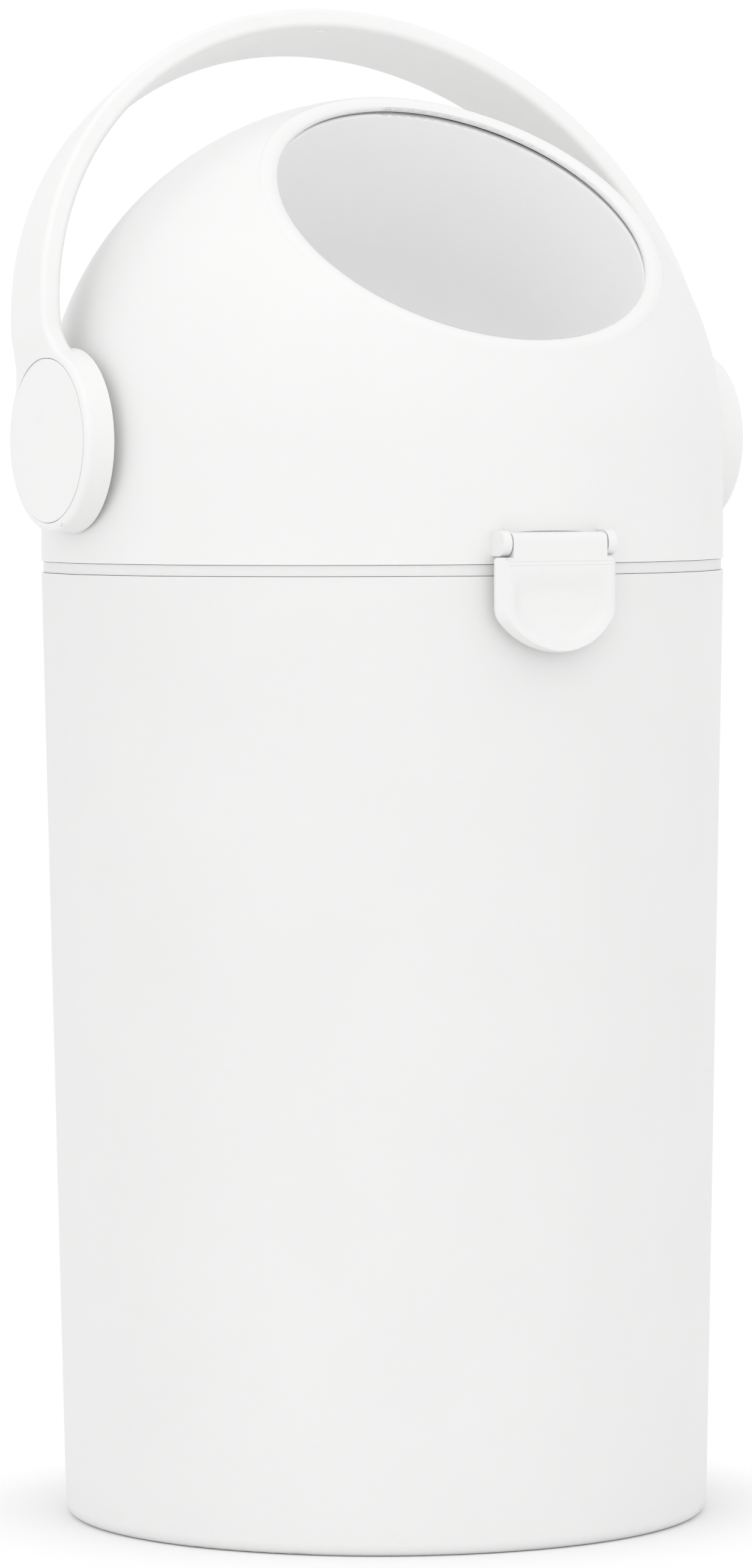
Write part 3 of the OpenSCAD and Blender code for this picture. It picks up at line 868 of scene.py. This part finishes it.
    def build(self) -> bpy.types.Object:
        """Models the handle and puts it in place of its solid.

        Returns:
            The handle.
        """
        bow = self._bar().finish("handle_bow")
        for side in (-1, 1):
            carve(bow, self._hub(side).finish("hub_tool"), Carving.ADD)
            carve(bow, self._hollow(side).finish("hollow_tool"), Carving.CUT)
            carve(bow, self._bore(side).finish("bore_tool"), Carving.CUT)
        carve(bow, self._gate_mark(), Carving.ADD)
        tilt = Matrix.Rotation(math.radians(-self.tilt), 4, "X")
        bow.data.transform(Matrix.Translation((0, 0, self.axis_z * MM)) @ tilt)
        soften(bow)
        wear(bow, self.finish)
        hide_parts("handle")
        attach(bow, "drum")
        return bow


@dataclass
class HubCap:
    """The slightly domed cap in a hub's face, with a rounded rim and a skirt behind it.

    All sizes are in millimetres; stations run outwards along the drum's axis.
    """

    side: str
    axis_z: float = DRUM_AXIS_Z
    radius: float = 32.88
    edge: float = 0.25
    top: float = 153.0
    dome_radius: float = 2500.0
    plate_back: float = 150.8
    skirt: float = 1.8
    skirt_end: float = 147.3
    dome_steps: int = 24
    edge_steps: int = 6
    round_steps: int = 144

    def _dome(self, r: float) -> float:
        """Station of the cap's face at a radius."""
        return self.top - self.dome_radius + math.sqrt(self.dome_radius**2 - r**2)

    def _profile(self) -> list[tuple[float, float]]:
        """Traces half of the cap's section, from the middle of the back to that of the face.

        Returns:
            Radius and station of each point.
        """
        inner, shoulder = self.radius - self.skirt, self.radius - self.edge
        points = [(0.0, self.plate_back), (inner, self.plate_back)]
        points += [(inner, self.skirt_end), (self.radius, self.skirt_end)]
        for i in range(self.edge_steps):
            a = math.pi / 2 * i / self.edge_steps
            lift = self.edge * (math.sin(a) - 1.0)
            points.append((shoulder + self.edge * math.cos(a), self._dome(shoulder) + lift))
        for i in range(self.dome_steps):
            r = shoulder * (1.0 - i / self.dome_steps)
            points.append((r, self._dome(r)))
        return points + [(0.0, self.top)]

    def build(self, finish: Moulding) -> bpy.types.Object:
        """Models the cap and puts it in place of its solid.

        Args:
            finish: The plastic that it wears.

        Returns:
            The cap.
        """
        skin = turned(self._profile(), -1.0 if self.side == "left" else 1.0, self.round_steps)
        lift = Matrix.Translation((0.0, 0.0, self.axis_z * MM))
        cap = skin.finish(f"{self.side}_cap_disc", lift)
        soften(cap)
        wear(cap, finish)
        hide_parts(f"{self.side}_hub_cap")
        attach(cap, "drum")
        return cap


# ---- the latch ----


@dataclass
class Latch:
    """The hinged catch: a rounded barrel over a curved plate with a dished thumb rest.

    All sizes are in millimetres, in the bin's frame. The insets say how far in from the
    outline each ring of the surface lies, closest where the rim and the dish are round.
    """

    half_width: float = 27.3
    barrel_half: float = 21.25
    pin_y: float = -142.7
    pin_z: float = 400.9
    barrel_radius: float = 5.1
    barrel_rise: float = 4.3
    barrel_power: float = 2.8
    barrel_corner: float = 0.5
    pin_radius: float = 1.66
    plate_top: float = 395.35
    plate_bottom: float = 357.8
    plate_front: float = 147.8
    plate_back: float = 142.5
    plate_corner: float = 0.9
    neck: tuple[float, float] = (1.2, 1.6)
    least_wall: float = 0.02
    creases_z: tuple[float, float] = (392.2, 393.65)
    crease_depth: float = 0.16
    crease_tool: float = 1.0
    tool_reach: float = 2.0
    curve_radius: float = 32.5
    corner_radius: float = 9.0
    flare: float = 2.6
    flare_height: float = 18.0
    edge: float = 0.4
    skirt_depth: float = 4.2
    skirt_side: float = 3.1
    skirt_bottom: float = 0.6
    skirt_round: float = 0.28
    dish_half: float = 21.6
    dish_radius: float = 27.8
    dish_centre_z: float = 389.6
    dish_depth: float = 1.6
    dish_slope: float = 3.8
    dish_top: tuple[float, float] = (380.0, 391.0)
    dish_round: float = 3.0
    hook_half: float = 9.0
    hook_reach: float = 1.6
    hook_z: tuple[float, float] = (373.6, 378.6)
    hook_slope: float = 0.5
    hook_sink: float = 0.8
    centre_z: float = 383.0
    outline_step: float = 0.9
    corner_steps: int = 14
    curve_steps: int = 32
    middle_steps: int = 14
    inset_limit: float = 0.9
    bore_steps: int = 48
    insets: tuple[float, ...] = (
        0.0, 0.08, 0.2, 0.4, 0.7, 1.1, 1.5, 1.9, 2.3, 2.7, 3.1, 3.6, 4.2, 5.2, 6.2, 7.2,
    )
    finish: Moulding = field(
        default_factory=lambda: Moulding(
            "latch_white", colour=(0.842, 0.842, 0.838), seed=8.8, handling=Handling.HAND
        )
    )

    @property
    def arc_z(self) -> float:
        """Height of the middle of the round bottom's arc."""
        return self.plate_bottom + self.curve_radius

    @property
    def fillet(self) -> tuple[float, float]:
        """Middle of the right corner's arc, which touches the side and the bottom's arc."""
        x = self.half_width - self.corner_radius
        return x, self.arc_z - math.sqrt((self.curve_radius - self.corner_radius) ** 2 - x**2)

    def _outline(self) -> list[tuple[float, float]]:
        """Traces the front outline, from the top's middle round the right side and back.

        Returns:
            The outline's points.
        """
        fillet_x, fillet_z = self.fillet
        meet = math.atan2(fillet_z - self.arc_z, fillet_x)
        barrel_top = self.pin_z + self.barrel_rise
        small, large = self.barrel_corner, self.plate_corner
        knots = [(0.0, barrel_top), (self.barrel_half - small, barrel_top)]
        knots += [(self.barrel_half, barrel_top - small), (self.barrel_half, self.plate_top)]
        knots += [(self.half_width - large, self.plate_top)]
        knots += [(self.half_width, self.plate_top - large), (self.half_width, fillet_z)]
        right = spaced(knots, self.outline_step)
        for i in range(1, self.corner_steps + 1):
            a = meet * i / self.corner_steps
            x = fillet_x + self.corner_radius * math.cos(a)
            right.append((x, fillet_z + self.corner_radius * math.sin(a)))
        for i in range(1, self.curve_steps + 1):
            a = meet + (-math.pi / 2 - meet) * i / self.curve_steps
            x = self.curve_radius * math.cos(a)
            right.append((x, self.arc_z + self.curve_radius * math.sin(a)))
        return right + [(-x, z) for x, z in reversed(right[1:-1])]

    def _flare_at(self, z: float) -> float:
        """How far the plate stands out near its bottom.

        Args:
            z: The height.

        Returns:
            The distance from the plain plate.
        """
        drop = max(0.0, self.plate_bottom + self.flare_height - z)
        radius = (self.flare_height**2 + self.flare**2) / (2 * self.flare)
        return radius - math.sqrt(radius**2 - min(drop, self.flare_height) ** 2)

    def _skirt_at(self, x: float, z: float) -> float:
        """How far the sloping side has fallen back from the front.

        Args:
            x: Place across the plate.
            z: The height.

        Returns:
            The distance fallen back.
        """
        fillet_x, fillet_z = self.fillet
        side = abs(x)
        if z >= fillet_z:
            gap, level = self.half_width - side, 1.0
        elif (side - fillet_x) * (self.arc_z - fillet_z) > (fillet_z - z) * fillet_x:
            span = math.hypot(side - fillet_x, z - fillet_z)
            gap, level = self.corner_radius - span, (side - fillet_x) / max(span, TINY)
        else:
            span = math.hypot(side, z - self.arc_z)
            gap, level = self.curve_radius - span, side / max(span, TINY)
        width = self.skirt_bottom + (self.skirt_side - self.skirt_bottom) * level**2
        fall, soft = 1.0 - gap / width, self.skirt_round
        if fall < soft:
            fall = max(0.0, fall + soft) ** 2 / (4.0 * soft)
        return self.skirt_depth * min(1.0, fall)

    def _dish_at(self, x: float, z: float) -> float:
        """Depth of the thumb rest.

        Args:
            x: Place across the plate.
            z: The height.

        Returns:
            The depth.
        """
        side = self.dish_half - abs(x)
        floor = self.dish_radius - math.hypot(x, min(0.0, z - self.dish_centre_z))
        soft = max(0.0, self.dish_round - abs(side - floor)) ** 2 / (4.0 * self.dish_round)
        slope = smoothstep(0.0, self.dish_slope, min(side, floor) - soft)
        return self.dish_depth * slope * (1.0 - smoothstep(*self.dish_top, z))

    def _barrel_at(self, z: float) -> float:
        """Half of the barrel's depth at a height; its section is a softened square."""
        rise = min(1.0, abs(z - self.pin_z) / self.barrel_rise)
        return self.barrel_radius * (1.0 - rise**self.barrel_power) ** (1.0 / self.barrel_power)

    def _front(self, x: float, z: float, inset: float) -> float:
        """Finds the front surface.

        Args:
            x: Place across the plate.
            z: The height.
            inset: How far inside the outline the point is.

        Returns:
            The surface's Y.
        """
        y = -self.plate_front - self._flare_at(z) + self._dish_at(x, z) + self._skirt_at(x, z)
        if z > self.pin_z:
            y = max(y, self.pin_y - self._barrel_at(z))
        if inset < self.edge:
            y += self.edge - math.sqrt(self.edge**2 - (self.edge - inset) ** 2)
        return min(y, self._back(z) - self.least_wall)

    def _back(self, z: float) -> float:
        """Finds the back surface.

        Args:
            z: The height.

        Returns:
            The surface's Y.
        """
        plate = -self.plate_back - self._flare_at(z)
        barrel = self.pin_y + self._barrel_at(z)
        below, above = self.neck
        share = smoothstep(self.plate_top - below, self.plate_top + above, z)
        return plate + (barrel - plate) * share

    def _plate(self) -> Skin:
        """Models barrel and plate in one.

        Returns:
            The closed skin.
        """
        outline = self._outline()
        skin = Skin()
        rims = []
        count, inner = self.middle_steps, self.insets[-1]
        steps = [(d, 0.0) for d in self.insets] + [(inner, k / count) for k in range(1, count)]
        for front in (True, False):
            rows = []
            for inset, share in steps:
                places = [self._drawn_in(x, z, inset, share) for x, z in outline]
                rows.append(skin.ring(self._on_face(*place, front) for place in places))
            for first, second in zip(rows, rows[1:]):
                skin.bridge(first, second)
            skin.fan(rows[-1], self._on_face(0.0, self.centre_z, self.half_width, front))
            rims.append(rows[0])
        skin.bridge(*rims)
        return skin

    def _drawn_in(self, x: float, z: float, inset: float, share: float) -> tuple[float, ...]:
        """Draws a point of the outline in towards the plate's middle.

        Args:
            x: Place across the plate.
            z: The height.
            inset: How far in it is drawn first.
            share: Part of the way that is left and that it is drawn as well.

        Returns:
            The new place across, the new height and how far inside the outline they are.
        """
        span = math.hypot(x, z - self.centre_z)
        keep = (1.0 - min(self.inset_limit, inset / span)) * (1.0 - share)
        return x * keep, self.centre_z + (z - self.centre_z) * keep, inset + share * span

    def _on_face(self, x: float, z: float, inset: float, front: bool) -> Vector:
        """Puts a point on the front or the back surface.

        Args:
            x: Place across the plate.
            z: The height.
            inset: How far inside the outline it is.
            front: Whether it goes on the front.

        Returns:
            The point, in metres.
        """
        y = self._front(x, z, inset) if front else self._back(z)
        return Vector((x, y, z)) * MM

    def _hook(self) -> Skin:
        """Models the hook behind the plate.

        Returns:
            The closed skin.
        """
        skin = Skin()
        rows = []
        near, far = -self.plate_back - self.hook_sink, self.hook_reach - self.plate_back
        low, high = self.hook_z
        for x in (-self.hook_half, self.hook_half):
            corners = ((near, low), (far, low + self.hook_slope), (far, high), (near, high))
            rows.append(skin.ring(Vector((x, y, z)) * MM for y, z in corners))
        skin.bridge(*rows)
        skin.cap(*rows)
        return skin

    def _crease(self, z: float) -> Skin:
        """The tool for one fine groove across the front.

        Args:
            z: The groove's height.

        Returns:
            The closed skin.
        """
        front, reach = self.crease_depth - self.plate_front, self.half_width + self.tool_reach
        size = self.crease_tool
        skin = Skin()
        rows = []
        for x in (-reach, reach):
            corners = ((front, z), (front - size, z + size), (front - size, z - size))
            rows.append(skin.ring(Vector((x, y, height)) * MM for y, height in corners))
        skin.bridge(*rows)
        skin.cap(*rows)
        return skin

    def _pin_bore(self) -> Skin:
        """Models the tool for the hinge pin's bore.

        Returns:
            The closed skin.
        """
        reach = self.barrel_half + self.tool_reach
        profile = [(0.0, -reach), (self.pin_radius, -reach)]
        profile += [(self.pin_radius, reach), (0.0, reach)]
        return turned(profile, steps=self.bore_steps)

    def build(self) -> bpy.types.Object:
        """Models the latch and puts it in place of its solid.

        Returns:
            The latch.
        """
        plate = self._plate().finish("latch_plate")
        carve(plate, self._hook().finish("hook_tool"), Carving.ADD)
        bore = self._pin_bore()
        place = Matrix.Translation(Vector((0.0, self.pin_y, self.pin_z)) * MM)
        carve(plate, bore.finish("pin_tool", place), Carving.CUT)
        for z in self.creases_z:
            carve(plate, self._crease(z).finish("crease_tool"), Carving.CUT)
        soften(plate)
        wear(plate, self.finish)
        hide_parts("latch")
        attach(plate, "latch")
        return plate


# ---- the moulded body, the lid and the drum ----


@dataclass
class Dressing:
    """One finish and the solids that wear it."""

    finish: Finish
    nodes: tuple[str, ...]

    def apply(self, solids: dict[str, bpy.types.Object]) -> None:
        """Puts the finish on each of its solids.

        Args:
            solids: The frame's objects by name.
        """
        made = self.finish.material()
        for name in self.nodes:
            for slot in solids[name].material_slots:
                slot.material = made
            LOG.info("%s wears %s", name, made.name)


@dataclass
class Wardrobe:
    """Every finish on the bin's solids."""

    dressings: tuple[Dressing, ...] = (
        Dressing(
            Moulding(
                "bucket_white", colour=(0.818, 0.818, 0.814), seed=0.4, handling=Handling.FLOOR
            ),
            ("bucket", "hinge_bracket"),
        ),
        # The lid is a lighter white than the bucket: painted light, standing in for the stronger
        # light that falls on the dome.
        Dressing(Moulding("lid_white_painted_lighter", colour=(0.848, 0.848, 0.844), seed=1.1), ("lid_shell",)),
        Dressing(
            Moulding("ring_white", colour=(0.812, 0.812, 0.808), roughness=0.42, seed=3.7),
            ("bag_ring",),
        ),
        Dressing(
            Moulding("drum_white", roughness=0.4, seed=5.2),
            ("drum_front", "drum_back"),
        ),
        # The cup's near-white colour is painted light: it lifts the shade inside the deep cup.
        Dressing(
            Moulding("cup_white_painted_light", colour=(0.958, 0.96, 0.96), roughness=0.33, seed=6.1),
            ("nappy_cup", "cup_bowl"),
        ),
        Dressing(
            Moulding("inner_white", colour=(0.8, 0.82, 0.84), roughness=0.5, seed=9.3),
            ("lid_collar", "left_trunnion", "right_trunnion"),
        ),
        Dressing(
            Moulding("bushing_ivory", colour=(0.84, 0.82, 0.74), roughness=0.55, seed=4.4),
            ("left_bushing", "right_bushing"),
        ),
        Dressing(
            Rubber("seal_grey"),
            ("bag_grip", "lid_gasket", "mouth_seal", "drum_seal"),
        ),
        Dressing(
            Steel("plated_steel"),
            (
                "bracket_screws",
                "hinge_pin",
                "collar_screws",
                "latch_pin",
                "drum_screws",
                "handle_screws",
                "handle_washers",
            ),
        ),
    )

    def dress(self, solids: dict[str, bpy.types.Object]) -> None:
        """Dresses every solid of the frame, given by name."""
        for dressing in self.dressings:
            dressing.apply(solids)


# ---- the studio ----


def outward(azimuth: float, elevation: float) -> Vector:
    """The direction from the bin at an azimuth and an elevation, in degrees."""
    a, e = math.radians(azimuth), math.radians(elevation)
    return Vector((math.sin(a) * math.cos(e), -math.cos(a) * math.cos(e), math.sin(e)))


@dataclass
class ViewPoint:
    """The camera, on the line of sight found from the object's own circles.

    Lengths are in metres and angles in degrees; focal length and sensor are in
    millimetres. The offset moves it sideways, off the line through the bin's axis.
    """

    focal: float = 162.39
    sensor: float = 36.0
    far_limit: float = 60.0
    distance: float = 2.915
    azimuth: float = -28.34
    elevation: float = 2.796
    roll: float = -0.246
    target_z: float = 0.300
    offset: float = -0.002974

    def build(self) -> bpy.types.Object:
        """Makes the camera and looks through it.

        Returns:
            The camera.
        """
        back = outward(self.azimuth, self.elevation)
        level = Vector((0, 0, 1)).cross(back).normalized()
        turn = math.radians(self.roll)
        right = math.cos(turn) * level + math.sin(turn) * back.cross(level)
        axes = Matrix((right, back.cross(right), back)).transposed().to_4x4()
        place = Vector((0, 0, self.target_z)) + level * self.offset + back * self.distance
        data = bpy.data.cameras.new("studio_camera")
        data.lens = self.focal
        data.sensor_width = self.sensor
        data.sensor_fit = "AUTO"
        data.clip_end = self.far_limit
        made = bpy.data.objects.new("studio_camera", data)
        made.matrix_world = Matrix.Translation(place) @ axes
        bpy.context.scene.collection.objects.link(made)
        bpy.context.scene.camera = made
        return made


@dataclass(frozen=True)
class Glow:
    """A broad, soft-edged part of the surround that is brighter than the rest."""

    azimuth: float
    elevation: float
    start: float
    power: float

    def on(self, way: Wire) -> Wire:
        """Strength that the glow adds along a direction.

        Args:
            way: The direction looked in.

        Returns:
            The wire of the added strength.
        """
        middle = outward(self.azimuth, self.elevation)
        settings = {"operation": "DOT_PRODUCT"}
        facing = way.graph.node("ShaderNodeVectorMath", settings, {0: way, 1: middle}, "Value")
        return facing.ramp(self.start, 1.0) * self.power


@dataclass(frozen=True)
class Softbox:
    """A square area lamp that looks at the bin."""

    name: str
    azimuth: float
    elevation: float
    distance: float
    size: float
    power: float

    def build(self, target: Vector) -> bpy.types.Object:
        """Makes the lamp.

        Args:
            target: The point that it faces.

        Returns:
            The lamp.
        """
        out = outward(self.azimuth, self.elevation)
        data = bpy.data.lights.new(self.name, "AREA")
        data.shape = "SQUARE"
        data.size = self.size
        data.energy = self.power
        made = bpy.data.objects.new(self.name, data)
        made.location = target + out * self.distance
        made.rotation_euler = out.to_track_quat("Z", "Y").to_euler()
        bpy.context.scene.collection.objects.link(made)
        return made


@dataclass
class Studio:
    """The pale floor, the white surround and the soft lamps; lengths are in metres."""

    floor_radius: float = 9.0
    floor_steps: int = 96
    paper: tuple[Colour, Colour] = ((0.93, 0.93, 0.93), (0.91, 0.91, 0.91))
    paper_roughness: float = 0.9
    paper_specular: float = 0.1
    fibre_size: float = 0.004
    shadow_inner: float = 0.12
    shadow_outer: float = 0.2
    world_light: float = 0.8
    glows: tuple[Glow, ...] = (Glow(-20.0, 50.0, 0.1, 0.355), Glow(-100.0, 5.0, 0.0, 0.1))
    lamp_target_z: float = 0.33
    lamps: tuple[Softbox, ...] = (
        Softbox("left_softbox", -76.0, 8.0, 2.6, 2.0, 2.6),
        Softbox("right_softbox", 22.0, 8.0, 2.6, 2.0, 1.9),
        Softbox("top_softbox", -28.0, 70.0, 2.6, 2.0, 2.9),
    )

    def _seen(self, graph: Graph) -> Wire:
        """Tells apart the rays that see the surround from those that it lights.

        Args:
            graph: The graph to work in.

        Returns:
            The wire, 1 for rays that see it straight, mirrored or through glass.
        """
        total = 0.0
        for outlet in ("Is Camera Ray", "Is Glossy Ray", "Is Transmission Ray"):
            total = graph.node("ShaderNodeLightPath", outlet=outlet) + total
        return total.ramp(0.0, 0.5)

    def _world(self) -> None:
        """Lights the scene evenly and shows white behind it."""
        world = bpy.data.worlds.new("pale_surround")
        world.use_nodes = True
        bpy.context.scene.world = world
        graph = Graph(world.node_tree)
        way = graph.node("ShaderNodeTexCoord", outlet="Generated")
        light = self.world_light
        for glow in self.glows:
            light = glow.on(way) + light
        seen = self._seen(graph)
        strength = seen + (1.0 - seen) * light
        surround = graph.node(
            "ShaderNodeBackground", inputs={"Color": (1.0, 1.0, 1.0, 1.0), "Strength": strength}
        )
        graph.node("ShaderNodeOutputWorld", inputs={"Surface": surround})

    def _floor(self) -> bpy.types.Object:
        """Makes a disc that shows the shadow near the bin and is plain white further out.

        Returns:
            The floor.
        """
        skin = Skin()
        turns = [math.tau * i / self.floor_steps for i in range(self.floor_steps)]
        row = skin.ring(Vector((math.cos(a), math.sin(a), 0.0)) * self.floor_radius for a in turns)
        skin.cap(row)
        floor = skin.finish("studio_floor")
        made, graph = blank("white_paper")
        place = place_on_object(graph)
        reach = graph.node("ShaderNodeVectorMath", {"operation": "LENGTH"}, {0: place}, "Value")
        fibre = noise(place, self.fibre_size, 3.0, 0.6)
        shader = {
            "Base Color": blend_colours(fibre, *self.paper),
            "Roughness": self.paper_roughness,
            "Specular IOR Level": self.paper_specular,
        }
        lit = graph.node("ShaderNodeBsdfPrincipled", inputs=shader)
        white = graph.node("ShaderNodeEmission", inputs={"Color": (1.0, 1.0, 1.0, 1.0)})
        far = reach.ramp(self.shadow_inner, self.shadow_outer) * self._seen(graph)
        mixed = graph.node("ShaderNodeMixShader", inputs={0: far, 1: lit, 2: white})
        graph.node("ShaderNodeOutputMaterial", inputs={"Surface": mixed})
        floor.data.materials.append(made)
        return floor

    def build(self) -> None:
        """Sets up the floor, the surround and the lamps."""
        scene = bpy.context.scene
        scene.view_settings.view_transform = "Standard"
        self._world()
        self._floor()
        for lamp in self.lamps:
            lamp.build(Vector((0, 0, self.lamp_target_z)))
            LOG.info("lamp %s", lamp.name)


def main() -> None:
    """Builds the studio and every sub-assembly."""
    logging.basicConfig(level=logging.INFO, format="%(name)s: %(message)s")
    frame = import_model()
    ViewPoint().build()
    Studio().build()
    Wardrobe().dress(frame["nodes"])
    Handle().build()
    for side in ("left", "right"):
        HubCap(side).build(Moulding(f"{side}_cap_white", seed=7.9, handling=Handling.HAND))
    Latch().build()


if __name__ == "__main__":
    main()
